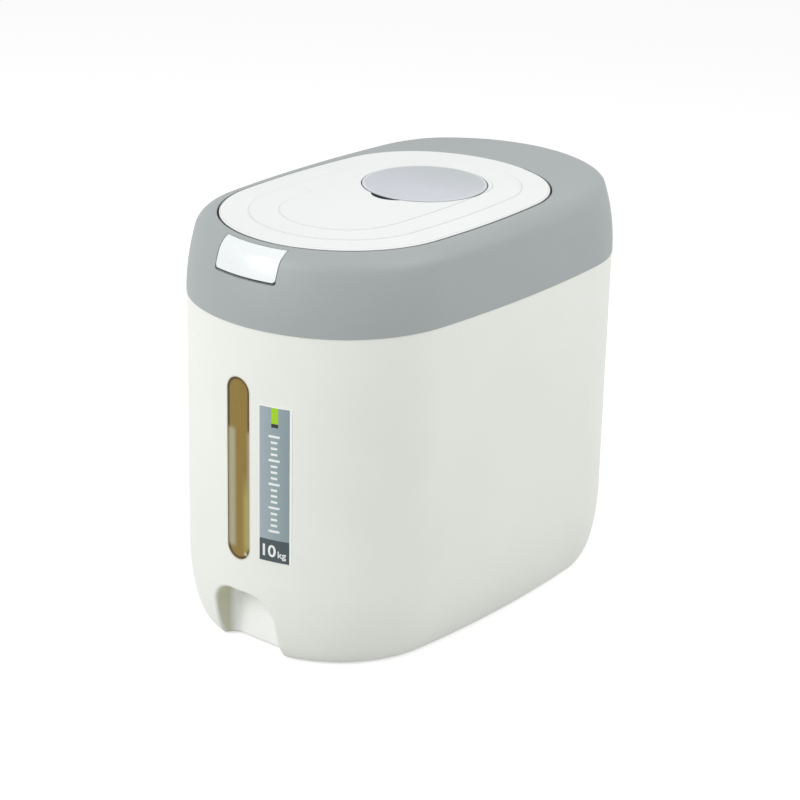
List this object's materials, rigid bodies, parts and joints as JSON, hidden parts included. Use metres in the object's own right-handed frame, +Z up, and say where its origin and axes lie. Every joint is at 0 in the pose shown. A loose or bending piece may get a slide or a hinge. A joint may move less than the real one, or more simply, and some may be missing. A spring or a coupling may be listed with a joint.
{
  "type": "rice storage bin",
  "caption": "Upright oblong grain bin with a bowed plan, a sprung flip lid, a front push latch, a clear level window and a measuring cup kept in the lid.",
  "frame": {"origin": "middle of the footprint, on the surface the feet stand on", "axes": "+Z up, front face with the latch button towards -Y, hinge side towards +Y, right side of the front towards +X"},
  "size_m": [0.1854, 0.305, 0.26],
  "materials": {
    "white_body": "fine satin moulding",
    "grey_cover": "satin moulding",
    "white_lid": "semi-gloss moulding",
    "lid_inner": "satin moulding",
    "cup": "smooth moulding",
    "button": "polished moulding",
    "window": "clear amber moulding",
    "label": "printed film",
    "rubber": "soft rubber",
    "silicone": "soft silicone",
    "mechanism": "low-friction moulding",
    "steel": "zinc plated"
  },
  "bodies": {
    "bin": {"bin_body": "white_body", "foot_pads": "rubber", "level_window": "window", "level_label": "label", "top_cover": "grey_cover", "hinge_bracket": "mechanism", "hinge_pin": "steel", "hinge_screws": "steel", "hinge_cover": "grey_cover", "hinge_cover_screws": "steel", "lid_spring_left": "steel", "lid_spring_right": "steel", "latch_housing": "grey_cover", "latch_pin": "steel", "latch_spring": "steel", "latch_screws": "steel"},
    "lid": {"lid_top": "white_lid", "lid_base": "lid_inner", "lid_seal": "silicone", "lid_screws": "steel", "hinge_arms": "mechanism", "arm_screws": "steel"},
    "cup": {"measuring_cup": "cup"},
    "button": {"latch_button": "button", "latch_hook": "mechanism"}
  },
  "joints": [
    {"name": "lid_hinge", "type": "hinge", "parent": "bin", "child": "lid", "pos_m": [0, 0.1001, 0.251], "axis": [-1, 0, 0], "range_deg": [0, 85], "deforming": ["latch_hook", "lid_spring_left", "lid_spring_right"]},
    {"name": "latch_press", "type": "hinge", "parent": "bin", "child": "button", "pos_m": [0, -0.1384, 0.2495], "axis": [1, 0, 0], "range_deg": [0, 8], "stiffness_Nm_per_rad": 0.5, "springref_deg": -5.73, "deforming": ["latch_spring"]},
    {"name": "cup_lift", "type": "slide", "parent": "lid", "child": "cup", "axis": [0, 0, 1], "range_m": [0, 0.07]}
  ]
}
